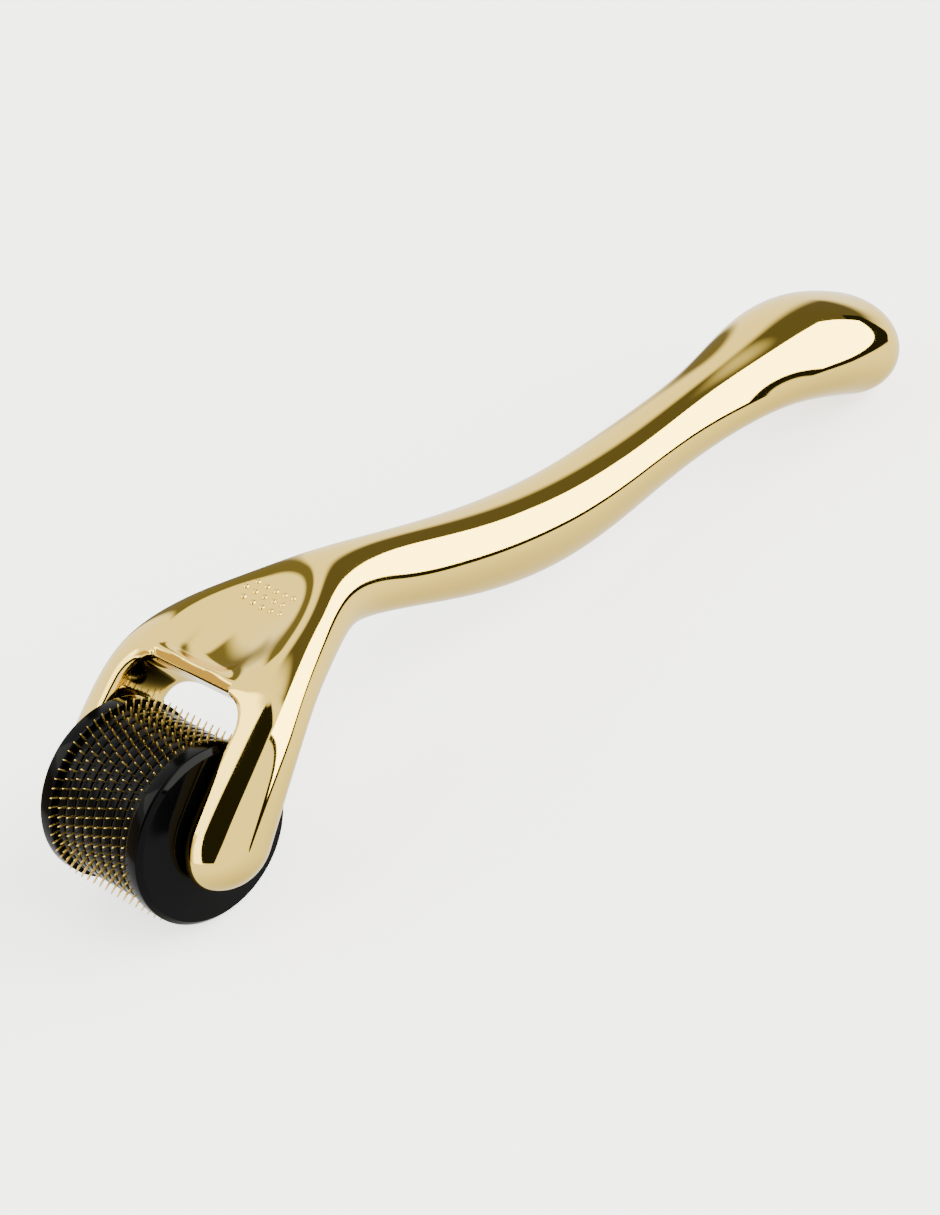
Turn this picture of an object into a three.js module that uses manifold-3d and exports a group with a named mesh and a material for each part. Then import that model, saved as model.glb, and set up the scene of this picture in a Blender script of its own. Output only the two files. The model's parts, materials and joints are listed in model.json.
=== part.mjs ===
// Derma roller: a plated one-piece handle whose forked head carries a needle drum on an axle pin.
// Millimetres. +Z is up, +X runs from the drum to the tail, +Y runs along the axle.
// The object lies as it rests on a table: on the needle tips in front and on the tail behind.
import * as THREE from 'three';
import { mergeVertices } from 'three/addons/utils/BufferGeometryUtils.js';
import Module from 'manifold-3d';

// ---- driving dimensions ----
const NEEDLE_TIP_R = 11.0;      // the drum rolls on this radius
const NEEDLE_ROWS = 9;
const NEEDLES_PER_ROW = 60;
const ROW_PITCH = 1.6;
const DISC_THICK = 0.3;
const DISC_BODY_R = 9.8;
const NEEDLE_BASE_W = 0.42;     // width of a needle where it leaves the disc
const RING_R = 10.0;
const STACK_GAP = 0.05;         // between neighbours in the stack
const CORE_R = 5.9;
const BORE_FIT = 0.1;           // radial gap between the core and what is stacked on it
const KEY_W = 1.2;              // the two keys that index the stack
const KEY_HEIGHT = 0.8;
const CAP_FACE_Y = 9.0;         // half the length of the drum
const CAP_FACE_R = 10.0;
const CAP_RIM_R = 10.6;
const CAP_CHAMFER = 1.0;
const BOSS_R = 3.2;
const BOSS_HEIGHT = 0.3;
const SPIGOT_R = 4.0;
const SPIGOT_END_Y = 4.9;
const AXLE_R = 1.5;
const RUNNING_FIT = 0.1;        // radial gap between the fixed pin and what turns on it
const END_GAP = 0.3;            // gap at the ends of the pin and between boss and arm
const ARM_INNER_Y = 9.6;        // the arms' flat inner walls
const SOCKET_DEPTH = 2.6;
const SLOT_ANGLE = THREE.MathUtils.degToRad(34);  // slope of the head where the slot ends
const SLOT_END = 14.5;          // distance of the crossbar from the axle, along that slope
const SLOT_CORNER_R = 4.0;
const ROUND_SIDES = 40;

// The handle from the arm ends to the tail, as control points of a uniform cubic B-spline:
// x and z of the middle line, half width and half height of the rounded section around it.
const HANDLE_STATIONS = [
  [-4.6, -5.3, 15.6, 6.5],    // rounded ends of the arms
  [0.6, 0.7, 15.6, 6.4],      // around the axle
  [5.8, 6.2, 15.4, 5.5],
  [10.3, 10.1, 14.8, 4.9],    // shoulders of the fork
  [15.9, 11.9, 12.4, 4.5],
  [22.5, 12.3, 9.0, 4.3],     // back of the head
  [28.5, 12.2, 5.6, 4.3],
  [35.0, 10.0, 4.3, 4.45],    // neck
  [42.9, 6.6, 4.6, 4.8],
  [51.8, 2.9, 4.9, 5.35],
  [61.9, 0.2, 4.9, 5.6],      // belly under the grip
  [72.0, -0.35, 4.7, 5.25],
  [82.0, 0.15, 4.5, 4.65],    // slimmest part of the grip
  [92.0, 0.4, 4.8, 4.7],
  [102.0, 0.7, 7.2, 6.0],
  [110.0, -1.55, 8.6, 6.65],  // bulb of the tail
  [116.0, -5.1, 8.3, 6.3],
  [121.0, -8.1, 8.1, 6.1],
];
const BELLY_EGG = 0.22;         // the belly is wider above its middle and narrower below, by this share
const ARM_CAP = 1.0;            // length of the rounded ends, counted in stations
const TAIL_CAP = 1.15;
const DISH = { centre: [14.6, 0, 18.2], radii: [15.0, 8.2, 4.6], tiltDeg: -9 };

const PLATED_GOLD = { color: 0xdcc48c, roughness: 0.08, metalness: 1.0 };
const BLACK_GLOSS = { color: 0x0a0a0c, roughness: 0.15, metalness: 0.0 };
const NEEDLE_GOLD = { color: 0xd9b96a, roughness: 0.3, metalness: 1.0 };
const STEEL = { color: 0xb8bcc0, roughness: 0.3, metalness: 1.0 };

const wasm = await Module();
wasm.setup();

// ---- solids ----
function toManifold(geometry) {
  const bare = geometry.clone();
  bare.deleteAttribute('normal');
  bare.deleteAttribute('uv');
  const merged = mergeVertices(bare, 1e-5);
  return new wasm.Manifold(new wasm.Mesh({
    numProp: 3,
    vertProperties: Float32Array.from(merged.attributes.position.array),
    triVerts: Uint32Array.from(merged.index.array),
  }));
}

function fromManifold(solid) {
  const mesh = solid.getMesh();
  const geometry = new THREE.BufferGeometry();
  geometry.setAttribute('position', new THREE.BufferAttribute(new Float32Array(mesh.vertProperties), 3));
  geometry.setIndex(new THREE.BufferAttribute(new Uint32Array(mesh.triVerts), 1));
  geometry.computeVertexNormals();
  return geometry;
}

function part(name, geometry, look) {
  const mesh = new THREE.Mesh(geometry, new THREE.MeshStandardMaterial(look));
  mesh.name = name;
  return mesh;
}

// A turned piece about the Y axis, from [radius, y] corners listed with y rising on the outside.
function turned(corners) {
  const profile = corners.map(([radius, y]) => new THREE.Vector2(radius, y));
  return new THREE.LatheGeometry(profile, ROUND_SIDES);
}

// A flat piece cut from an outline in the XZ plane, centred on y.
function slab(shape, thickness, y) {
  const settings = { depth: thickness, bevelEnabled: false, curveSegments: ROUND_SIDES / 4 };
  const geometry = new THREE.ExtrudeGeometry(shape, settings);
  geometry.rotateX(Math.PI / 2);
  geometry.translate(0, y + thickness / 2, 0);
  return geometry;
}

// ---- handle ----
function splineWeights(t) {
  return [
    (1 - t) ** 3 / 6,
    (3 * t ** 3 - 6 * t ** 2 + 4) / 6,
    (-3 * t ** 3 + 3 * t ** 2 + 3 * t + 1) / 6,
    t ** 3 / 6,
  ];
}

// Value of column `column` at station number u; the control points run on straight past both ends.
function station(column, u) {
  const last = HANDLE_STATIONS.length - 1;
  const cell = Math.min(Math.max(Math.floor(u), 0), last - 1);
  const control = (k) => {
    if (k < 0) return 2 * HANDLE_STATIONS[0][column] - HANDLE_STATIONS[1][column];
    if (k > last) return 2 * HANDLE_STATIONS[last][column] - HANDLE_STATIONS[last - 1][column];
    return HANDLE_STATIONS[k][column];
  };
  return splineWeights(u - cell).reduce((sum, weight, i) => sum + weight * control(cell - 1 + i), 0);
}

// Share of the full half size left at station u, near the rounded ends: 0 at the end, 1 where the body starts.
function endShare(u, power) {
  const last = HANDLE_STATIONS.length - 1;
  const into = Math.max(1 - u / ARM_CAP, 1 - (last - u) / TAIL_CAP, 0);
  return (1 - into ** power) ** (1 / power);
}

// Cross-section of the handle at station u: its middle, its normal, its half sizes and how square it is.
function section(u) {
  const step = 1e-4;
  const along = new THREE.Vector2(
    station(0, u + step) - station(0, u - step),
    station(1, u + step) - station(1, u - step),
  ).normalize();
  const squareness = THREE.MathUtils.lerp(2.7, 2.1, THREE.MathUtils.smoothstep(u, 3, 6.5));
  const inBelly = THREE.MathUtils.smoothstep(u, 7, 9.8) * (1 - THREE.MathUtils.smoothstep(u, 11.2, 13.4));
  return {
    x: station(0, u),
    z: station(1, u),
    normal: new THREE.Vector2(-along.y, along.x),
    halfWidth: station(2, u) * endShare(u, squareness),
    halfHeight: station(3, u) * endShare(u, 2),
    squareness,
    egg: BELLY_EGG * inBelly,
  };
}

function sectionPoint(shape, angle) {
  const power = 2 / shape.squareness;
  const across = Math.sign(Math.cos(angle)) * Math.abs(Math.cos(angle)) ** power;
  const up = Math.sign(Math.sin(angle)) * Math.abs(Math.sin(angle)) ** power;
  const lift = up * shape.halfHeight;
  return [
    shape.x + shape.normal.x * lift,
    across * shape.halfWidth * (1 + shape.egg * up),
    shape.z + shape.normal.y * lift,
  ];
}

// Station numbers of the rings: close together on the rounded ends, even between them.
function ringStations(capRings, bodyRings) {
  const last = HANDLE_STATIONS.length - 1;
  const list = [];
  for (let i = 1; i < capRings; i += 1) list.push(ARM_CAP * (1 - Math.cos((i / capRings) * Math.PI / 2)));
  for (let i = 0; i <= bodyRings; i += 1) {
    list.push(THREE.MathUtils.lerp(ARM_CAP, last - TAIL_CAP, i / bodyRings));
  }
  for (let i = capRings - 1; i > 0; i -= 1) {
    list.push(last - TAIL_CAP * (1 - Math.cos((i / capRings) * Math.PI / 2)));
  }
  return list;
}

function handleBody() {
  const around = 28;
  const rings = ringStations(5, 48).map(section);
  const positions = [];
  const indices = [];
  for (const ring of rings) {
    for (let i = 0; i < around; i += 1) positions.push(...sectionPoint(ring, (i / around) * 2 * Math.PI));
  }
  for (let r = 0; r < rings.length - 1; r += 1) {
    for (let i = 0; i < around; i += 1) {
      const a = r * around + i;
      const b = r * around + ((i + 1) % around);
      indices.push(a, b, a + around, b, b + around, a + around);
    }
  }
  const first = section(0);
  const final = section(HANDLE_STATIONS.length - 1);
  const firstIndex = positions.length / 3;
  positions.push(first.x, 0, first.z, final.x, 0, final.z);
  const lastRing = (rings.length - 1) * around;
  for (let i = 0; i < around; i += 1) {
    const next = (i + 1) % around;
    indices.push(firstIndex, next, i, firstIndex + 1, lastRing + i, lastRing + next);
  }
  const geometry = new THREE.BufferGeometry();
  geometry.setAttribute('position', new THREE.Float32BufferAttribute(positions, 3));
  geometry.setIndex(indices);
  return geometry;
}

// The space between the arms: a long slot with a rounded end, cut square to the head's slope.
function slotCutter() {
  const reach = 40;
  const half = ARM_INNER_Y;
  const corner = SLOT_END - SLOT_CORNER_R;
  const shape = new THREE.Shape();
  shape.moveTo(-reach, -half);
  shape.lineTo(corner, -half);
  shape.absarc(corner, -half + SLOT_CORNER_R, SLOT_CORNER_R, -Math.PI / 2, 0, false);
  shape.absarc(corner, half - SLOT_CORNER_R, SLOT_CORNER_R, 0, Math.PI / 2, false);
  shape.lineTo(-reach, half);
  const geometry = new THREE.ExtrudeGeometry(shape, { depth: 2 * reach, bevelEnabled: false, curveSegments: 8 });
  geometry.translate(0, 0, -reach);
  geometry.rotateY(-SLOT_ANGLE);
  return geometry;
}

// The spoon-shaped hollow in the top of the head.
function dishCutter() {
  const geometry = new THREE.SphereGeometry(1, 32, 20);
  geometry.scale(...DISH.radii);
  geometry.rotateY(THREE.MathUtils.degToRad(DISH.tiltDeg));
  geometry.translate(...DISH.centre);
  return geometry;
}

// Both blind sockets at once: one bar whose ends stop inside the arms.
function socketCutter() {
  const end = ARM_INNER_Y + SOCKET_DEPTH;
  const radius = AXLE_R + RUNNING_FIT;
  return turned([[0, -end], [radius, -end], [radius, end], [0, end]]);
}

function handle() {
  const solid = toManifold(handleBody())
    .subtract(toManifold(slotCutter()))
    .subtract(toManifold(dishCutter()))
    .subtract(toManifold(socketCutter()));
  return part('handle', fromManifold(solid), PLATED_GOLD);
}

// ---- needle drum ----
// A round hole with two opposite notches, for the core's keys; wound clockwise.
function keyedHole() {
  const radius = CORE_R + BORE_FIT;
  const notchR = CORE_R + KEY_HEIGHT + BORE_FIT;
  const halfKey = KEY_W / 2 + BORE_FIT;
  const angle = Math.asin(halfKey / radius);
  const hole = new THREE.Path();
  hole.moveTo(notchR, halfKey);
  hole.lineTo(notchR, -halfKey);
  hole.absarc(0, 0, radius, -angle, -Math.PI + angle, true);
  hole.lineTo(-notchR, -halfKey);
  hole.lineTo(-notchR, halfKey);
  hole.absarc(0, 0, radius, Math.PI - angle, angle, true);
  hole.closePath();
  return hole;
}

function needleDisc(row) {
  const pitch = (2 * Math.PI) / NEEDLES_PER_ROW;
  const stagger = row % 2 ? 0 : pitch / 2;
  const halfBase = NEEDLE_BASE_W / 2 / DISC_BODY_R;
  const outline = [];
  for (let i = 0; i < NEEDLES_PER_ROW; i += 1) {
    const middle = i * pitch + stagger;
    for (const [radius, angle] of [
      [DISC_BODY_R, middle - halfBase],
      [NEEDLE_TIP_R, middle],
      [DISC_BODY_R, middle + halfBase],
    ]) outline.push(new THREE.Vector2(radius * Math.cos(angle), radius * Math.sin(angle)));
  }
  const shape = new THREE.Shape(outline);
  shape.holes.push(keyedHole());
  const y = (row - (NEEDLE_ROWS + 1) / 2) * ROW_PITCH;
  return part(`needle_disc_${row}`, slab(shape, DISC_THICK, y), NEEDLE_GOLD);
}

function spacerRing(row) {
  const shape = new THREE.Shape();
  shape.absarc(0, 0, RING_R, 0, Math.PI, false);
  shape.absarc(0, 0, RING_R, Math.PI, 2 * Math.PI, false);
  shape.holes.push(keyedHole());
  const width = ROW_PITCH - DISC_THICK - 2 * STACK_GAP;
  const y = (row - NEEDLE_ROWS / 2) * ROW_PITCH;
  return part(`spacer_ring_${row}`, slab(shape, width, y), BLACK_GLOSS);
}

const STACK_END = ((NEEDLE_ROWS - 1) / 2) * ROW_PITCH + DISC_THICK / 2 + STACK_GAP;

// A closed flange with a spigot that plugs into the core and a low boss that faces the arm.
function endCap(name, side) {
  const bore = AXLE_R + RUNNING_FIT;
  const geometry = turned([
    [bore, SPIGOT_END_Y],
    [SPIGOT_R, SPIGOT_END_Y],
    [SPIGOT_R, STACK_END],
    [CAP_RIM_R, STACK_END],
    [CAP_RIM_R, CAP_FACE_Y - CAP_CHAMFER],
    [CAP_FACE_R, CAP_FACE_Y],
    [BOSS_R, CAP_FACE_Y],
    [BOSS_R, CAP_FACE_Y + BOSS_HEIGHT],
    [bore, CAP_FACE_Y + BOSS_HEIGHT],
    [bore, SPIGOT_END_Y],
  ]);
  if (side < 0) geometry.rotateX(Math.PI);
  return part(name, geometry, BLACK_GLOSS);
}

function drumCore() {
  const bore = AXLE_R + RUNNING_FIT;
  const pocket = SPIGOT_R + BORE_FIT;
  const end = STACK_END - STACK_GAP;
  const pocketEnd = SPIGOT_END_Y - END_GAP;
  const sleeve = turned([
    [bore, -pocketEnd],
    [pocket, -pocketEnd],
    [pocket, -end],
    [CORE_R, -end],
    [CORE_R, end],
    [pocket, end],
    [pocket, pocketEnd],
    [bore, pocketEnd],
    [bore, -pocketEnd],
  ]);
  let solid = toManifold(sleeve);
  for (const side of [-1, 1]) {
    const inside = CORE_R - 0.5;
    const key = new THREE.BoxGeometry(CORE_R + KEY_HEIGHT - inside, 2 * end, KEY_W);
    key.translate(side * (CORE_R + KEY_HEIGHT + inside) / 2, 0, 0);
    solid = solid.add(toManifold(key));
  }
  return part('drum_core', fromManifold(solid), BLACK_GLOSS);
}

function axlePin() {
  const end = ARM_INNER_Y + SOCKET_DEPTH - END_GAP;
  const bevel = 0.3;
  const geometry = turned([
    [0, -end],
    [AXLE_R - bevel, -end],
    [AXLE_R, -end + bevel],
    [AXLE_R, end - bevel],
    [AXLE_R - bevel, end],
    [0, end],
  ]);
  return part('axle_pin', geometry, STEEL);
}

// ---- assembly ----
const roller = new THREE.Group();
roller.add(drumCore());
for (let row = 1; row <= NEEDLE_ROWS; row += 1) roller.add(needleDisc(row));
for (let row = 1; row < NEEDLE_ROWS; row += 1) roller.add(spacerRing(row));
roller.add(endCap('end_cap_near', -1));
roller.add(endCap('end_cap_far', 1));

const assembly = new THREE.Group();
assembly.add(handle());
assembly.add(axlePin());
assembly.add(roller);

// The origin is the middle of the footprint, on the table.
assembly.updateMatrixWorld(true);
const box = new THREE.Box3().setFromObject(assembly, true);
const middle = box.getCenter(new THREE.Vector3());
assembly.position.set(-middle.x, -middle.y, -box.min.z);

const model = new THREE.Group();
model.add(assembly);
model.updateMatrixWorld(true);

export default model;
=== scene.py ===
# %% [markdown]
# # A derma roller
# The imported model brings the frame: where every part is, which body it moves with and where the axle runs.
# Everything made here is placed from those numbers. Lengths of the handle are worked out in millimetres
# from the axle, because that is how a maker would dimension it, and turned into metres at the very end.

# %% Load the fixed frame
import json
import math

import bmesh
import bpy
import numpy as np
from mathutils import Matrix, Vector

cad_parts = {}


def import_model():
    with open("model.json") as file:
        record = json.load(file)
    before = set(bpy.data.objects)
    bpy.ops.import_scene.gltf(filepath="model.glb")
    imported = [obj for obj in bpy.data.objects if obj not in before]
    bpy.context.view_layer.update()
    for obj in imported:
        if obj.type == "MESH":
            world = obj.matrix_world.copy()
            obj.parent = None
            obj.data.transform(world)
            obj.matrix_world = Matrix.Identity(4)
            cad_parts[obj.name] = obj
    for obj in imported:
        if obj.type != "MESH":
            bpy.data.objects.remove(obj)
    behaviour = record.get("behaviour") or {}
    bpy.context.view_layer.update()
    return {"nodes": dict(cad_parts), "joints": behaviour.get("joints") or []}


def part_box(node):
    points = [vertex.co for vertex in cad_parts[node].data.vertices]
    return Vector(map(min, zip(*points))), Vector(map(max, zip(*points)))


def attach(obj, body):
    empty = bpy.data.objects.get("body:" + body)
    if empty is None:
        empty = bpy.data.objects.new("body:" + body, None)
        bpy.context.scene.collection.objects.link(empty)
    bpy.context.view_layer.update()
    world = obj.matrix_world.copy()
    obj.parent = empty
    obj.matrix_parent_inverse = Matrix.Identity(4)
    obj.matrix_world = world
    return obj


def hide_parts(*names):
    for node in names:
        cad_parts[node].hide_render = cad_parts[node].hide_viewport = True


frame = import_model()
spin = next(joint for joint in frame["joints"] if joint["name"] == "roller_spin")
AXLE = np.array(spin["pos_m"])
MM = 0.001


def box_of(node):
    """Lowest and highest corner of a CAD node, as arrays in metres."""
    low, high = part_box(node)
    return np.array(low), np.array(high)


# %% [markdown]
# ## Meshes from arrays
# Every new piece ends up as a list of points and a list of faces. Turned parts, such as rings and caps,
# are a profile carried round the axle: one grid of points, joined to itself. A helper for each of those
# two steps keeps the pieces short. Face corners are ordered so that the faces look outwards.

# %% Points and faces into an object
def add_piece(name, points_mm, faces, material, body, replaces=(), flat_angle=35.0):
    """Object `name` from points in millimetres from the axle, riding on a body."""
    mesh = bpy.data.meshes.new(name)
    mesh.from_pydata((points_mm * MM + AXLE).tolist(), [], [list(face) for face in faces])
    mesh.materials.append(material)
    mesh.shade_smooth()
    if flat_angle:
        mesh.set_sharp_from_angle(angle=math.radians(flat_angle))
    piece = bpy.data.objects.new(name, mesh)
    bpy.context.collection.objects.link(piece)
    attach(piece, body)
    if replaces:
        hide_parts(*replaces)
    return piece


def grid_faces(rows, columns, wrap_rows=False, wrap_columns=False):
    """Quads of a rows by columns grid: corner (i, j), (i+1, j), (i+1, j+1), (i, j+1), counted row by row."""
    i = np.arange(rows if wrap_rows else rows - 1)[:, None]
    j = np.arange(columns if wrap_columns else columns - 1)[None, :]
    i2, j2 = (i + 1) % rows, (j + 1) % columns
    quads = [i * columns + j, i2 * columns + j, i2 * columns + j2, i * columns + j2]
    return np.stack(np.broadcast_arrays(*quads), axis=-1).reshape(-1, 4)


def turned(profile, sides=160):
    """Points and faces of a closed profile of (radius, y) corners carried round the axle.
    Point = (radius sin angle, y, radius cos angle)."""
    profile = np.array(profile, float)
    angle = np.linspace(0, 2 * np.pi, sides, endpoint=False)[:, None]
    radius, y = profile[:, 0], profile[:, 1]
    points = np.stack(
        [radius * np.sin(angle), np.broadcast_to(y, (sides, len(profile))), radius * np.cos(angle)], axis=-1
    )
    return points.reshape(-1, 3), grid_faces(sides, len(profile), True, True)


def fillet(corner, before, after, radius, steps=4):
    """Corner of a profile rounded off: points on the arc that touches both sides, from `before` to `after`."""
    corner, before, after = (np.array(p, float) for p in (corner, before, after))
    a = (before - corner) / np.linalg.norm(before - corner)
    b = (after - corner) / np.linalg.norm(after - corner)
    half = np.arccos(np.clip(a @ b, -1, 1)) / 2
    middle = corner + (a + b) / np.linalg.norm(a + b) * radius / np.sin(half)
    start = corner + a * radius / np.tan(half) - middle
    end = corner + b * radius / np.tan(half) - middle
    share = np.linspace(0, 1, steps)[:, None]
    chord = start * (1 - share) + end * share
    return middle + chord / np.linalg.norm(chord, axis=1, keepdims=True) * radius


def rounded_profile(corners, radii, steps=4):
    """Closed profile with each corner rounded by its own radius; a radius of 0 leaves it sharp."""
    corners = [np.array(c, float) for c in corners]
    count = len(corners)
    arcs = [
        fillet(corners[k], corners[k - 1], corners[(k + 1) % count], radii[k], steps)
        if radii[k] > 0
        else corners[k][None]
        for k in range(count)
    ]
    return np.concatenate(arcs)


# %% [markdown]
# ## Effects that several finishes share
# Plated and moulded surfaces are never perfectly even: the skin has a faint ripple, and hands leave
# patches where the gloss is a little lower. Both are node groups, so that each material can use them
# with its own scale and strength. A group only gives numbers; the shader stays in the material.

# %% Shader node groups
def new_group(name, inputs, outputs):
    """Empty shader node group with float inputs {name: default} and float outputs."""
    group = bpy.data.node_groups.new(name, "ShaderNodeTree")
    for label, default in inputs.items():
        socket = group.interface.new_socket(label, in_out="INPUT", socket_type="NodeSocketFloat")
        socket.default_value = default
    for label in outputs:
        group.interface.new_socket(label, in_out="OUTPUT", socket_type="NodeSocketFloat")
    return group, group.nodes.new("NodeGroupInput"), group.nodes.new("NodeGroupOutput")


def noise_node(tree, scale, detail):
    """Noise texture that reads Object coordinates."""
    place = tree.nodes.new("ShaderNodeTexCoord")
    noise = tree.nodes.new("ShaderNodeTexNoise")
    noise.inputs["Scale"].default_value = scale
    noise.inputs["Detail"].default_value = detail
    tree.links.new(place.outputs["Object"], noise.inputs["Vector"])
    return noise


def handled_group():
    """Roughness = base + amount x smooth patches, from a slow noise pushed towards its extremes."""
    group, inside, outside = new_group(
        "handled_patches", {"Scale": 120.0, "Base": 0.06, "Amount": 0.05}, ["Roughness", "Patches"]
    )
    noise = noise_node(group, 1.0, 4.0)
    group.links.new(inside.outputs["Scale"], noise.inputs["Scale"])
    spread = group.nodes.new("ShaderNodeMapRange")
    spread.interpolation_type = "SMOOTHSTEP"
    spread.inputs["From Min"].default_value = 0.42
    spread.inputs["From Max"].default_value = 0.68
    add = group.nodes.new("ShaderNodeMath")
    add.operation = "MULTIPLY_ADD"
    group.links.new(noise.outputs["Fac"], spread.inputs["Value"])
    group.links.new(spread.outputs["Result"], add.inputs[0])
    group.links.new(inside.outputs["Amount"], add.inputs[1])
    group.links.new(inside.outputs["Base"], add.inputs[2])
    group.links.new(add.outputs[0], outside.inputs["Roughness"])
    group.links.new(spread.outputs["Result"], outside.inputs["Patches"])
    return group


def skin_group():
    """Height of a moulded skin: a fine noise, times its depth."""
    group, inside, outside = new_group("moulded_skin", {"Scale": 900.0, "Depth": 0.5}, ["Height"])
    noise = noise_node(group, 1.0, 2.0)
    times = group.nodes.new("ShaderNodeMath")
    times.operation = "MULTIPLY"
    group.links.new(inside.outputs["Scale"], noise.inputs["Scale"])
    group.links.new(noise.outputs["Fac"], times.inputs[0])
    group.links.new(inside.outputs["Depth"], times.inputs[1])
    group.links.new(times.outputs[0], outside.inputs["Height"])
    return group


HANDLED = handled_group()
SKIN = skin_group()
print("node groups:", HANDLED.name, SKIN.name)


# %% [markdown]
# ## Materials
# The handle is plastic with a thin metal skin: a mirror that is tinted pale gold. The drum is black
# plastic, glossy but darker than a mirror. The needles carry the same gold colour with a duller shine.
# Each material sets its own fixed numbers on the shader and lets the two groups vary the rest.

# %% One material
def finish(name, colour, metallic, gloss, skin, sockets=None):
    """Material with handled patches (scale, base, amount) and a moulded skin (scale, depth in metres)."""
    material = bpy.data.materials.new(name)
    material.use_nodes = True
    tree = material.node_tree
    shader = tree.nodes["Principled BSDF"]
    shader.inputs["Base Color"].default_value = (*colour, 1)
    shader.inputs["Metallic"].default_value = metallic
    for label, value in (sockets or {}).items():
        shader.inputs[label].default_value = value
    patches = tree.nodes.new("ShaderNodeGroup")
    patches.node_tree = HANDLED
    for label, value in zip(("Scale", "Base", "Amount"), gloss):
        patches.inputs[label].default_value = value
    ripple = tree.nodes.new("ShaderNodeGroup")
    ripple.node_tree = SKIN
    ripple.inputs["Scale"].default_value = skin[0]
    ripple.inputs["Depth"].default_value = 1.0
    bump = tree.nodes.new("ShaderNodeBump")
    bump.inputs["Strength"].default_value = 1.0
    bump.inputs["Distance"].default_value = skin[1]
    tree.links.new(patches.outputs["Roughness"], shader.inputs["Roughness"])
    tree.links.new(ripple.outputs["Height"], bump.inputs["Height"])
    tree.links.new(bump.outputs["Normal"], shader.inputs["Normal"])
    return material


plated_gold = finish("plated_gold", (0.86, 0.60, 0.115), 1.0, (90, 0.03, 0.03), (260, 0.0000015))
black_gloss = finish(
    "black_gloss",
    (0.0012, 0.0012, 0.0014),
    0.0,
    (300, 0.09, 0.06),
    (1500, 0.000002),
    {"Specular IOR Level": 0.05},
)
cap_gloss = finish(
    "cap_gloss", (0.0006, 0.0006, 0.0007), 0.0, (150, 0.07, 0.05), (700, 0.000002), {"Specular IOR Level": 0.06}
)
needle_gold = finish("needle_gold", (0.62, 0.46, 0.12), 1.0, (1500, 0.25, 0.12), (4000, 0.000003))
ground_steel = finish("ground_steel", (0.55, 0.56, 0.57), 1.0, (900, 0.22, 0.10), (3000, 0.000003))
print("materials:", len(bpy.data.materials))


# %% [markdown]
# ## The handle
# On the real roller the handle is one moulding: a slim grip that swells into a tail bulb, and a head that
# forks into two arms. A grid of points can follow a grip, but not a body that splits in two, and cutting
# one mesh with another leaves rough seams that a mirror finish would show. So the handle is described as
# a field instead: one formula that is negative inside the plastic and positive outside. Blending two
# fields rounds the edge between them by a chosen radius, and the surface is found afterwards.

# %% The middle line and the sizes along it
STATIONS = np.array([  # x and z of the middle line, half width, half height, in mm from the axle
    [-4.6, -5.3, 15.6, 6.5],
    [0.6, 0.7, 15.6, 6.4],
    [5.8, 6.2, 15.4, 5.5],
    [10.3, 10.1, 14.8, 4.9],
    [15.9, 11.9, 12.4, 4.5],
    [22.5, 12.3, 9.0, 4.3],
    [28.5, 12.2, 5.6, 4.3],
    [35.0, 10.0, 4.3, 4.45],
    [42.9, 6.6, 4.6, 4.8],
    [51.8, 2.9, 4.9, 5.35],
    [61.9, 0.2, 4.9, 5.6],
    [72.0, -0.35, 4.7, 5.25],
    [82.0, 0.15, 4.5, 4.65],
    [92.0, 0.4, 4.8, 4.7],
    [102.0, 0.7, 7.2, 6.0],
    [110.0, -1.55, 8.6, 6.65],
    [116.0, -5.1, 8.3, 6.3],
    [121.0, -8.1, 8.1, 6.1],
])
LAST = len(STATIONS) - 1
ARM_CAP = 1.0           # length of the rounded ends, counted in stations
TAIL_CAP = 1.15
EGG = 0.22              # the belly of the grip is wider above its middle and narrower below, by this share
EGG_START = 7.0         # station where the belly's egg shape begins, and how many stations it takes
EGG_RISE = 2.8
EGG_FADE = 11.2         # station where it starts to fade, and how many stations that takes
EGG_FALL = 2.2
HEAD_SQUARE = 2.7       # squareness of the section at the head, and by how much less it is at the grip
SQUARE_LOSS = 0.6
LIP_BLEND = 0.5         # radius that rounds the lip's edges, in mm
FRONT_BLEND = 1.0       # and where the dish meets its front wall
ARM_INNER_Y = 9.6       # flat inner walls of the fork
SLOT_ANGLE = math.radians(34)
SLOT_END = 14.5         # crossbar, measured from the axle along the head's slope
SLOT_CORNER_R = 4.0
DISH_CENTRE = np.array([14.6, 0.0, 18.2])
DISH_RADII = np.array([15.0, 8.2, 4.6])
DISH_TILT = math.radians(-9)
DISH_FRONT = np.array([9.4, 14.4])   # x and z of the rim in front, at the middle
DISH_FRONT_RISE = 0.028              # the rim climbs towards its ends: times the square of y
DISH_FRONT_ANGLE = math.radians(38)  # how steeply the dish falls behind that rim
LIP_FOOT = np.array([8.6, 13.1])     # x and z of the lip's lower edge
LIP_ANGLE = math.radians(62)
LIP_HALF_WIDTH = 6.2    # at the foot; the ends lean outwards by LIP_FLARE for each mm of height
LIP_FLARE = 0.45
SOCKET_R = 1.6
SOCKET_END_Y = 12.2


SPLINE = (  # weights of four neighbouring control values, and their first and second slopes
    lambda t: ((1 - t) ** 3 / 6, (3 * t**3 - 6 * t**2 + 4) / 6, (-3 * t**3 + 3 * t**2 + 3 * t + 1) / 6, t**3 / 6),
    lambda t: (-((1 - t) ** 2) / 2, (3 * t**2 - 4 * t) / 2, (-3 * t**2 + 2 * t + 1) / 2, t**2 / 2),
    lambda t: (1 - t, 3 * t - 2, 1 - 3 * t, t),
)


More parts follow.
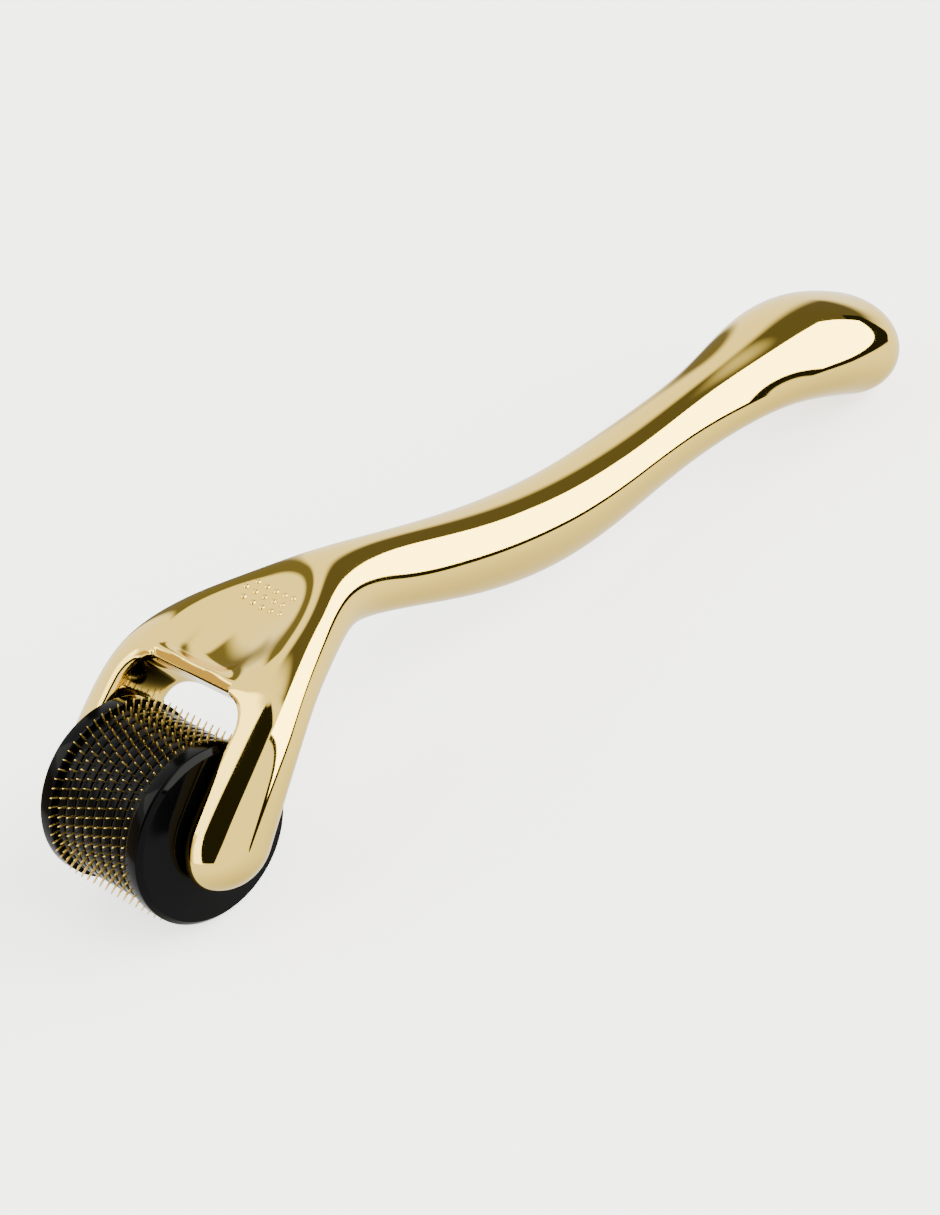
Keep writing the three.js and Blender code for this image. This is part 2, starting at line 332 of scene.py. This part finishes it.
def along(column, u, order=0):
    """Uniform cubic B-spline through a column of the stations at station number u, or one of its slopes."""
    before, after = 2 * STATIONS[0] - STATIONS[1], 2 * STATIONS[-1] - STATIONS[-2]
    control = np.vstack([before, STATIONS, after])[:, column]
    cell = np.clip(np.floor(u).astype(int), 0, LAST - 1)
    weights = SPLINE[order](u - cell)
    return sum(weight * control[cell + k] for k, weight in enumerate(weights))


def nearest_station(x, z):
    """Station number whose normal passes through each (x, z), and the height above the middle line.
    Starts at the nearest of many samples, then Newton steps on (point - curve) . slope = 0."""
    samples = np.linspace(0, LAST, 200)
    curve = np.stack([along(0, samples), along(1, samples)], axis=-1)
    flat = np.stack([x.ravel(), z.ravel()], axis=-1)
    u = np.empty(len(flat))
    for start in range(0, len(flat), 20000):
        block = flat[start:start + 20000, None, :]
        u[start:start + 20000] = samples[((block - curve) ** 2).sum(axis=-1).argmin(axis=1)]
    for _ in range(6):
        gap_x, gap_z = flat[:, 0] - along(0, u), flat[:, 1] - along(1, u)
        slope_x, slope_z = along(0, u, 1), along(1, u, 1)
        speed = slope_x**2 + slope_z**2
        turn = gap_x * along(0, u, 2) + gap_z * along(1, u, 2)
        step = (gap_x * slope_x + gap_z * slope_z) / np.maximum(speed - turn, 0.4 * speed)
        u = np.clip(u + step, -0.8, LAST + 0.8)
    gap_x, gap_z = flat[:, 0] - along(0, u), flat[:, 1] - along(1, u)
    slope_x, slope_z = along(0, u, 1), along(1, u, 1)
    height = (gap_z * slope_x - gap_x * slope_z) / np.hypot(slope_x, slope_z)
    return u.reshape(x.shape), height.reshape(x.shape)


# %% Blends and simple fields
def smooth_step(t):
    """0 below 0, 1 above 1, and 3 t^2 - 2 t^3 between."""
    t = np.clip(t, 0, 1)
    return t * t * (3 - 2 * t)


def smooth_max(a, b, radius):
    """The larger of two fields, with the crease between them rounded off over `radius`."""
    near = np.maximum(radius - np.abs(a - b), 0) / radius
    return np.maximum(a, b) + near**3 * radius / 6


def body_field(u, height, y):
    """Rounded section |y/half width|^q + |height/half height|^q = 1, closed at both ends by a cap. Along
    the belly the half width grows with height, by the share EGG from the middle line to the top.
    Divided by its own slope, so that it reads roughly in millimetres near the surface."""
    square = HEAD_SQUARE - SQUARE_LOSS * smooth_step((u - 3) / 3.5)
    wide, tall = along(2, u), along(3, u)
    in_belly = smooth_step((u - EGG_START) / EGG_RISE) * (1 - smooth_step((u - EGG_FADE) / EGG_FALL))
    wide = wide * (1 + EGG * in_belly * height / tall)
    cap = np.maximum((ARM_CAP - u) / ARM_CAP, 0) + np.maximum((u - LAST + TAIL_CAP) / TAIL_CAP, 0)
    side = np.abs(y) / wide
    rise = np.sqrt((height / tall) ** 2 + cap**2 + 1e-12)
    total = side**square + rise**square
    value = total ** (1 / square)
    scale = (total + 1e-9) ** (1 / square - 1)
    slope = np.hypot(scale * side ** (square - 1) / wide, scale * rise ** (square - 1) / tall)
    return np.clip((value - 1) / np.maximum(slope, 0.05), -5, 8)


def slot_field(x, y, z):
    """Signed distance to the slot between the arms: a rounded rectangle in the plane of the head's slope."""
    reach = x * math.cos(SLOT_ANGLE) + z * math.sin(SLOT_ANGLE)
    over_end = reach - (SLOT_END - SLOT_CORNER_R)
    over_side = np.abs(y) - (ARM_INNER_Y - SLOT_CORNER_R)
    outside = np.hypot(np.maximum(over_end, 0), np.maximum(over_side, 0))
    return outside + np.minimum(np.maximum(over_end, over_side), 0) - SLOT_CORNER_R


def dish_field(x, y, z):
    """The spoon-shaped hollow: a tilted ellipsoid, at a distance of k (k - 1) / |p / r^2|, that is kept
    behind a sloping front wall."""
    dx, dz = x - DISH_CENTRE[0], z - DISH_CENTRE[2]
    px = dx * math.cos(DISH_TILT) - dz * math.sin(DISH_TILT)
    pz = dx * math.sin(DISH_TILT) + dz * math.cos(DISH_TILT)
    rx, ry, rz = DISH_RADII
    k = np.sqrt((px / rx) ** 2 + (y / ry) ** 2 + (pz / rz) ** 2)
    steep = np.sqrt((px / rx**2) ** 2 + (y / ry**2) ** 2 + (pz / rz**2) ** 2)
    bowl = k * (k - 1) / np.maximum(steep, 1e-6)
    rim_z = DISH_FRONT[1] + DISH_FRONT_RISE * y**2
    behind = (DISH_FRONT[0] - x) * math.sin(DISH_FRONT_ANGLE) + (rim_z - z) * math.cos(DISH_FRONT_ANGLE)
    return smooth_max(bowl, behind, FRONT_BLEND)


def lip_field(x, y, z):
    """The bevel in front of the dish: what lies before a leaning plane, between two ends that lean outwards."""
    outward = np.array([-math.sin(LIP_ANGLE), math.cos(LIP_ANGLE)])
    depth = -((x - LIP_FOOT[0]) * outward[0] + (z - LIP_FOOT[1]) * outward[1])
    return np.maximum(depth, np.abs(y) - LIP_HALF_WIDTH - LIP_FLARE * (z - LIP_FOOT[1]))


def handle_field(x, y, z, u, height):
    """The body, less the slot, the dish, the lip's bevel and the blind sockets for the axle pin."""
    field = body_field(u, height, y)
    rim = 0.8 + 2.4 * smooth_step((np.hypot(np.maximum(x - 13, 0), y) - 2.5) / 4)
    field = smooth_max(field, -dish_field(x, y, z), rim)
    field = smooth_max(field, -lip_field(x, y, z), LIP_BLEND)
    field = smooth_max(field, -slot_field(x, y, z), 0.5 + 2.0 * smooth_step((np.abs(y) - 5.5) / 3.5))
    socket = np.maximum(np.hypot(x, z) - SOCKET_R, np.abs(y) - SOCKET_END_Y)
    return np.maximum(field, -socket)


def field_at(points):
    """Handle field at an array of points."""
    x, y, z = points.T
    u, height = nearest_station(x, z)
    return handle_field(x, y, z, u, height)


# %% Finding the surface of a field
def edge_crossings(value):
    """For every grid cell: the sum of the places where the surface crosses its edges, and their number.
    A crossing lies at start / (start - end) along its edge."""
    cells = [size - 1 for size in value.shape]
    total, count = np.zeros((*cells, 3)), np.zeros(cells)
    for axis in range(3):
        first, second = [a for a in range(3) if a != axis]
        lines = np.moveaxis(value, axis, 0)
        start, end = lines[:-1], lines[1:]
        crosses = (start < 0) != (end < 0)
        share = np.where(crosses, start / np.where(crosses, start - end, 1), 0)
        for a, b in ((0, 0), (0, 1), (1, 0), (1, 1)):
            window = (slice(None), slice(a, a + cells[first]), slice(b, b + cells[second]))
            place = np.zeros((*crosses[window].shape, 3))
            place[..., axis] = share[window]
            place[..., first] = a * crosses[window]
            place[..., second] = b * crosses[window]
            total += np.moveaxis(place, 0, axis)
            count += np.moveaxis(crosses[window], 0, axis)
    return total, count


def surface_of(low, high, cell):
    """Surface nets: one point in each grid cell that the surface crosses, at the mean of the crossings
    on that cell's edges, and one face round each grid edge that it crosses, wound to look outwards."""
    axes = [np.arange(a, b + cell, cell) for a, b in zip(low, high)]
    u, height = nearest_station(*np.meshgrid(axes[0], axes[2], indexing="ij"))
    x, y, z = np.meshgrid(*axes, indexing="ij")
    value = handle_field(x, y, z, u[:, None, :], height[:, None, :])
    total, count = edge_crossings(value)
    used = count > 0
    number = np.full(count.shape, -1)
    number[used] = np.arange(used.sum())
    corner = np.array([a[0] for a in axes])
    points = corner + cell * (np.argwhere(used) + total[used] / count[used][:, None])
    faces = []
    for axis in range(3):
        lines, cells = np.moveaxis(value, axis, 0), np.moveaxis(number, axis, 0)
        start, end = lines[:-1, 1:-1, 1:-1] < 0, lines[1:, 1:-1, 1:-1] < 0
        for leaving in (True, False):
            a, b, c = np.nonzero(start & ~end if leaving else ~start & end)
            ring = [cells[a, b, c], cells[a, b + 1, c], cells[a, b + 1, c + 1], cells[a, b, c + 1]]
            faces.append(np.stack(ring if leaving != (axis == 1) else ring[::-1], axis=-1))
    return points, np.concatenate(faces)


def slope_at(points, step=0.02):
    """Gradient of the handle field by differences in x, y and z."""
    shifts = np.eye(3) * step
    return np.stack([field_at(points + s) - field_at(points - s) for s in shifts], axis=-1) / (2 * step)


def settle(points, rounds=3, most=0.3):
    """Moves points onto the surface: against the gradient, by field / |gradient|, at most `most` a round."""
    for _ in range(rounds):
        gradient = slope_at(points)
        size = np.linalg.norm(gradient, axis=1, keepdims=True)
        step = np.clip(field_at(points)[:, None] / np.maximum(size, 0.2), -most, most)
        points = points - step * gradient / np.maximum(size, 0.2)
    return points


# %% The handle's mesh
HANDLE_CELL = 0.4
handle_low, handle_high = ((corner - AXLE) / MM for corner in box_of("handle"))
handle_points, handle_faces = surface_of(handle_low - 1.5, handle_high + 1.5, HANDLE_CELL)
handle_points = settle(handle_points)
handle_shell = add_piece(
    "handle_shell", handle_points, handle_faces, plated_gold, "handle", ["handle"], flat_angle=0
)
outward = slope_at(handle_points)
outward /= np.linalg.norm(outward, axis=1, keepdims=True)
handle_shell.data.normals_split_custom_set_from_vertices(outward.tolist())
print("handle:", len(handle_points), "points,", len(handle_faces), "faces")

# %% [markdown]
# The floor of the dish carries a small raised pattern. It could be pressed into the surface with a
# bump, but raised dots must show in the mesh, so each one is a low dome of a few dozen faces that sits
# on the dish and leans with it. The pattern here is a plain regular one.

# %% Domes on the dish
# radius and height over the floor, from the hidden foot to the last ring under the top
DOME_PROFILE = np.array([[0.40, -0.15], [0.40, 0.03], [0.31, 0.13], [0.17, 0.18]])
DOME_TOP = 0.2
DOME_MIDDLE_Y = 0.6
DOME_SIDES = 10
DOME_X = (20.3, 21.5, 22.7)
DOME_PITCH_Y = 1.5
DOMES_IN_ROW = 5


def dish_floor(x, y, low=12.5, high=17.5):
    """Height of the dish at each (x, y): the field's change of sign between low and high, halved 30 times."""
    low, high = np.full(x.shape, low), np.full(x.shape, high)
    for _ in range(30):
        middle = (low + high) / 2
        outside = field_at(np.stack([x, y, middle], axis=-1)) > 0
        low, high = np.where(outside, low, middle), np.where(outside, middle, high)
    return np.stack([x, y, (low + high) / 2], axis=-1)


def dome_cluster():
    """Every dome is its foot + r (cos t, sin t) across the floor + h along the floor's normal, with a
    point closing it above and below."""
    row, place = np.meshgrid(np.arange(len(DOME_X)), np.arange(DOMES_IN_ROW), indexing="ij")
    x = np.array(DOME_X)[row].ravel()
    y = ((place - (DOMES_IN_ROW - 1) / 2 + 0.5 * (row % 2)) * DOME_PITCH_Y + DOME_MIDDLE_Y).ravel()
    foot = dish_floor(x, y)
    normal = slope_at(foot)
    normal = normal / np.linalg.norm(normal, axis=1, keepdims=True)
    across = np.cross(normal, [0.0, 1.0, 0.0])
    across /= np.linalg.norm(across, axis=1, keepdims=True)
    along_row = np.cross(normal, across)
    t = np.arange(DOME_SIDES) * 2 * math.pi / DOME_SIDES
    r, h = DOME_PROFILE[:, 0], DOME_PROFILE[:, 1]
    ring = (
        foot[:, None, None]
        + (r[:, None] * np.cos(t))[None, :, :, None] * across[:, None, None]
        + (r[:, None] * np.sin(t))[None, :, :, None] * along_row[:, None, None]
        + h[None, :, None, None] * normal[:, None, None]
    ).reshape(len(foot), -1, 3)
    ends = foot[:, None] + np.array([h[0], DOME_TOP])[None, :, None] * normal[:, None]
    points = np.concatenate([ring, ends], axis=1)
    side = np.arange(DOME_SIDES)
    after_side = (side + 1) % DOME_SIDES
    last = (len(r) - 1) * DOME_SIDES
    bottom, top = len(r) * DOME_SIDES, len(r) * DOME_SIDES + 1
    one = grid_faces(len(r), DOME_SIDES, wrap_columns=True)[:, ::-1].tolist()
    one += [[bottom, int(a), int(b)] for a, b in zip(side, after_side)]
    one += [[top, int(last + b), int(last + a)] for a, b in zip(side, after_side)]
    faces = [[corner + dome * points.shape[1] for corner in face] for dome in range(len(foot)) for face in one]
    return points.reshape(-1, 3), faces, len(foot)


dome_points, dome_faces, dome_count = dome_cluster()
domes = add_piece("dish_domes", dome_points, dome_faces, plated_gold, "handle", flat_angle=50)
dome_mesh = bmesh.new()
dome_mesh.from_mesh(domes.data)
bmesh.ops.recalc_face_normals(dome_mesh, faces=dome_mesh.faces)
dome_mesh.to_mesh(domes.data)
dome_mesh.free()
dome_heights = dome_points[:, 2]
print(dome_count, "domes, from", dome_heights.min().round(2), "to", dome_heights.max().round(2), "mm above the axle")

# %% [markdown]
# ## The needle drum
# The drum is a stack on one core: thin discs that carry the needles, and wider rings between them whose
# glossy outer bands cover the discs' edges. Rings and caps are turned shapes, so a profile carried round
# the axle gives them exactly, with small bevels that catch the light. A needle is a slim six-sided point;
# all the needles of a disc are one array, because hundreds of separate objects would be slow to move.

# %% Rings, discs and caps
RING_R = 10.0
RING_INNER_R = 6.1
RING_BAND = 0.66        # half width of a ring's outer band
RING_BODY = 0.6         # half width of a ring below the band
ROW_PITCH = 1.6
ROWS = 9
CAP_RIM_R = 10.6
CAP_FACE_R = 10.0
CAP_FACE_Y = 9.0
CAP_START_Y = 6.62
BORE_R = 1.6
BOSS_R = 3.2


def ring_profile(y):
    """Section of a spacer ring centred on y: a plain web with a bevelled outer band."""
    corners = [(RING_INNER_R, -RING_BODY), (9.75, -RING_BODY), (9.85, -RING_BAND), (RING_R, -RING_BAND)]
    corners += [(radius, -side) for radius, side in reversed(corners)]
    profile = rounded_profile(corners, [0, 0, 0, 0.09, 0.09, 0, 0, 0], 3)
    return profile + np.array([0, y])


def cap_profile(side):
    """Section of an end cap: spigot, rounded rim, bevel, flat face and the low boss round the axle."""
    corners = [
        (BORE_R, 4.9), (4.0, 4.9), (4.0, CAP_START_Y), (CAP_RIM_R, CAP_START_Y),
        (CAP_RIM_R, 8.35), (CAP_FACE_R, CAP_FACE_Y), (BOSS_R, CAP_FACE_Y),
        (BOSS_R, CAP_FACE_Y + 0.3), (BORE_R, CAP_FACE_Y + 0.3),
    ]
    profile = rounded_profile(corners, [0, 0, 0, 0.18, 0.25, 0.16, 0.1, 0.08, 0.08], 4)
    return profile if side > 0 else (profile * (1, -1))[::-1]


for row in range(1, ROWS):
    points, faces = turned(ring_profile((row - ROWS / 2) * ROW_PITCH), 96)
    add_piece(f"drum_ring_{row}", points, faces, black_gloss, "roller", [f"spacer_ring_{row}"])
for node, side in (("end_cap_near", -1), ("end_cap_far", 1)):
    points, faces = turned(cap_profile(side), 192)
    add_piece(node.replace("end", "turned"), points, faces, cap_gloss, "roller", [node])
print("rings and caps done")

# %% Needles
NEEDLES = 60
# radius from the axle and the needle's own radius, from its root to its tip
NEEDLE_RINGS = np.array([[9.55, 0.12], [10.3, 0.12], [10.75, 0.10], [10.93, 0.06], [11.0, 0.01]])


def needle_row(row):
    """Points and faces of one disc and its needles. A needle's point = direction x (radius from the axle)
    + own radius x (cosine along the axle + sine round it); every other row is turned by half a step."""
    y = (row - (ROWS + 1) / 2) * ROW_PITCH
    angle = (np.arange(NEEDLES) + (0.5 if row % 2 == 0 else 0)) * 2 * np.pi / NEEDLES
    out = np.stack([np.cos(angle), np.zeros(NEEDLES), np.sin(angle)], axis=-1)[:, None, None]
    round_axle = np.stack([-np.sin(angle), np.zeros(NEEDLES), np.cos(angle)], axis=-1)[:, None, None]
    turn = (np.arange(6) * np.pi / 3)[None, None, :, None]
    far, thick = NEEDLE_RINGS[:, 0][None, :, None, None], NEEDLE_RINGS[:, 1][None, :, None, None]
    points = out * far + thick * (np.cos(turn) * np.array([0, 1, 0]) + np.sin(turn) * round_axle) + np.array([0, y, 0])
    one = grid_faces(len(NEEDLE_RINGS), 6, wrap_columns=True)[:, ::-1]
    faces = (one[None] + np.arange(NEEDLES)[:, None, None] * len(NEEDLE_RINGS) * 6).reshape(-1, 4)
    ends = np.arange(6)[None] + np.arange(NEEDLES)[:, None] * len(NEEDLE_RINGS) * 6
    tips = ends + (len(NEEDLE_RINGS) - 1) * 6
    disc, disc_faces = turned([(6.1, y - 0.1), (9.7, y - 0.1), (9.7, y + 0.1), (6.1, y + 0.1)], 96)
    points = np.concatenate([points.reshape(-1, 3), disc])
    disc_faces = disc_faces + NEEDLES * len(NEEDLE_RINGS) * 6
    return points, [*faces.tolist(), *ends.tolist(), *tips[:, ::-1].tolist(), *disc_faces.tolist()]


for row in range(1, ROWS + 1):
    points, faces = needle_row(row)
    add_piece(f"needle_row_{row}", points, faces, needle_gold, "roller", [f"needle_disc_{row}"])
for node, material in (("axle_pin", ground_steel), ("drum_core", black_gloss)):
    frame["nodes"][node].data.materials[0] = material
print("needles:", NEEDLES * ROWS)

# %% [markdown]
# ## Light, floor and camera
# A mirror finish shows the room more than itself, so the room is designed first. It is a pale studio with
# one large soft box in front and to the left of the handle, a thin dark frame round that box, and a dark
# ceiling. These give the long pale stripe, the thin black line and the olive stripe that make polished
# metal look like metal. They are painted on the sky by direction, which lights the object evenly.

# %% The studio around the object
def half_space_group():
    """1 where direction . normal is over the offset, fading to 0 across a soft edge."""
    group = bpy.data.node_groups.new("behind_an_edge", "ShaderNodeTree")
    for label, kind in (("Direction", "Vector"), ("Normal", "Vector"), ("Offset", "Float"), ("Soft", "Float")):
        group.interface.new_socket(label, in_out="INPUT", socket_type="NodeSocket" + kind)
    group.interface.new_socket("Mask", in_out="OUTPUT", socket_type="NodeSocketFloat")
    inside, outside = group.nodes.new("NodeGroupInput"), group.nodes.new("NodeGroupOutput")
    dot = group.nodes.new("ShaderNodeVectorMath")
    dot.operation = "DOT_PRODUCT"
    group.links.new(inside.outputs["Direction"], dot.inputs[0])
    group.links.new(inside.outputs["Normal"], dot.inputs[1])
    values = dot.outputs["Value"]
    for operation, label in (("SUBTRACT", "Offset"), ("DIVIDE", "Soft")):
        step = group.nodes.new("ShaderNodeMath")
        step.operation = operation
        group.links.new(values, step.inputs[0])
        group.links.new(inside.outputs[label], step.inputs[1])
        values = step.outputs[0]
    fade = group.nodes.new("ShaderNodeMapRange")
    fade.interpolation_type = "SMOOTHSTEP"
    fade.inputs["From Min"].default_value = -0.5
    fade.inputs["From Max"].default_value = 0.5
    group.links.new(values, fade.inputs["Value"])
    group.links.new(fade.outputs["Result"], outside.inputs["Mask"])
    return group


def after(azimuth):
    """Upright edge: normal of the half space that lies anticlockwise of an azimuth in degrees."""
    turn = math.radians(azimuth)
    return (-math.sin(turn), math.cos(turn), 0.0), 0.0


def before(azimuth):
    """The other side of the same edge."""
    normal, _ = after(azimuth)
    return tuple(-value for value in normal), 0.0


def above(elevation):
    """Level edge: everything higher than an elevation in degrees."""
    return (0.0, 0.0, 1.0), math.sin(math.radians(elevation))


def below(elevation):
    """Level edge: everything lower than an elevation in degrees."""
    return (0.0, 0.0, -1.0), -math.sin(math.radians(elevation))


BOX_HEAD = (0.353, -0.763, -0.544)     # normal of the soft box's long upper edge
BOX_FOOT = (-0.257, -0.513, 0.819)     # and of its long lower edge
BOX_SIDE = (0.9045, 0.2248, 0.3627)    # and of its slanted left edge
FLAG_SIDE = (-0.392, 0.797, 0.461)     # normal of the black flag's slanted edge
ROOM = (2.15, 2.15, 2.1)
DARK = (0.02, 0.022, 0.018)
BRIGHT = (11.5, 11.5, 11.0)
EDGE = 0.012            # softness of the lamp's and the black cards' edges
PATCHES = (  # colour, softness and edges; each is painted over the ones before
    # the table under the object
    ((1.1, 1.1, 1.0), 0.9, [below(-50)]),
    # dim strip over the long lamp, which gives the olive band along the grip
    ((0.16, 0.16, 0.14), 0.16, [after(-66), before(34), above(7), below(68)]),
    # dim strip that the dish's far rim mirrors
    ((0.25, 0.25, 0.20), 0.07, [after(57), before(70), above(-28), below(48)]),
    # warm card that the lip's bevel mirrors
    ((0.95, 0.72, 0.42), 0.10, [after(118), before(162), above(-14), below(22)]),
    # two paler cards for the front edges of the arms
    ((5.5, 5.5, 5.2), 0.05, [after(110), before(180), above(31), below(78)]),
    ((5.5, 5.5, 5.2), 0.05, [after(168), before(-178), above(-14), below(34)]),
    # black flag that draws the stripe on the near arm
    (DARK, EDGE, [after(-179), before(-104), (FLAG_SIDE, 0.0), above(-12), below(84)]),
    # black frame under and beside the lamp, then the lamp itself
    (DARK, EDGE, [(BOX_SIDE, -0.10), before(-5), (BOX_FOOT, -0.115), (BOX_HEAD, 0.0)]),
    (DARK, EDGE, [after(-60), before(4), (BOX_FOOT, -0.115), (BOX_HEAD, 0.0), below(22)]),
    (BRIGHT, EDGE, [(BOX_SIDE, -0.03), before(-5), (BOX_FOOT, 0.0), (BOX_HEAD, 0.0)]),
)


def build_sky():
    """World whose colour is the room, with each patch mixed over it; a patch's mask is the product of
    the masks of its edges."""
    world = bpy.data.worlds.new("studio")
    world.use_nodes = True
    tree = world.node_tree
    group = half_space_group()
    place = tree.nodes.new("ShaderNodeTexCoord")
    colour = tree.nodes.new("ShaderNodeRGB")
    colour.outputs[0].default_value = (*ROOM, 1)
    last = colour.outputs[0]
    for tint, soft, edges in PATCHES:
        mask = None
        for normal, offset in edges:
            edge = tree.nodes.new("ShaderNodeGroup")
            edge.node_tree = group
            tree.links.new(place.outputs["Generated"], edge.inputs["Direction"])
            edge.inputs["Normal"].default_value = normal
            edge.inputs["Offset"].default_value = offset
            edge.inputs["Soft"].default_value = soft
            if mask is None:
                mask = edge.outputs["Mask"]
                continue
            times = tree.nodes.new("ShaderNodeMath")
            times.operation = "MULTIPLY"
            tree.links.new(mask, times.inputs[0])
            tree.links.new(edge.outputs["Mask"], times.inputs[1])
            mask = times.outputs[0]
        mix = tree.nodes.new("ShaderNodeMix")
        mix.data_type = "RGBA"
        tree.links.new(mask, mix.inputs[0])
        tree.links.new(last, mix.inputs[6])
        mix.inputs[7].default_value = (*tint, 1)
        last = mix.outputs[2]
    tree.links.new(last, tree.nodes["Background"].inputs["Color"])
    bpy.context.scene.world = world


build_sky()
print("patches of light and dark:", len(PATCHES))

# %% Floor
FLOOR_HALF = 4.0
floor_mesh = bpy.data.meshes.new("floor")
floor_mesh.from_pydata(
    [(x * FLOOR_HALF, y * FLOOR_HALF, -0.00005) for x, y in ((-1, -1), (1, -1), (1, 1), (-1, 1))], [], [(0, 1, 2, 3)]
)
floor_mesh.materials.append(
    finish("floor_paper", (0.80, 0.80, 0.79), 0.0, (3, 0.75, 0.1), (400, 0.00002), {"Specular IOR Level": 0.1, "Emission Color": (1, 1, 0.99, 1), "Emission Strength": 2.0})
)
floor = bpy.data.objects.new("floor", floor_mesh)
floor.visible_glossy = False
bpy.context.collection.objects.link(floor)

# %% Camera
# The camera's own axes: to the right, up, and back towards the viewer.
CAMERA_MM = np.array([-162.46, -282.06, 241.38])
CAMERA_AXES = np.array([[0.6985, -0.6891, -0.1932], [0.5204, 0.3037, 0.7981], [-0.4913, -0.6580, 0.5707]])
camera_data = bpy.data.cameras.new("camera")
camera_data.lens = 107.26
camera_data.sensor_width = 36.0
camera = bpy.data.objects.new("camera", camera_data)
camera_matrix = np.eye(4)
camera_matrix[:3, :3] = CAMERA_AXES.T
camera_matrix[:3, 3] = CAMERA_MM * MM + AXLE
camera.matrix_world = Matrix(camera_matrix.tolist())
bpy.context.collection.objects.link(camera)
bpy.context.scene.camera = camera
print("camera at", camera_matrix[:3, 3].round(3))
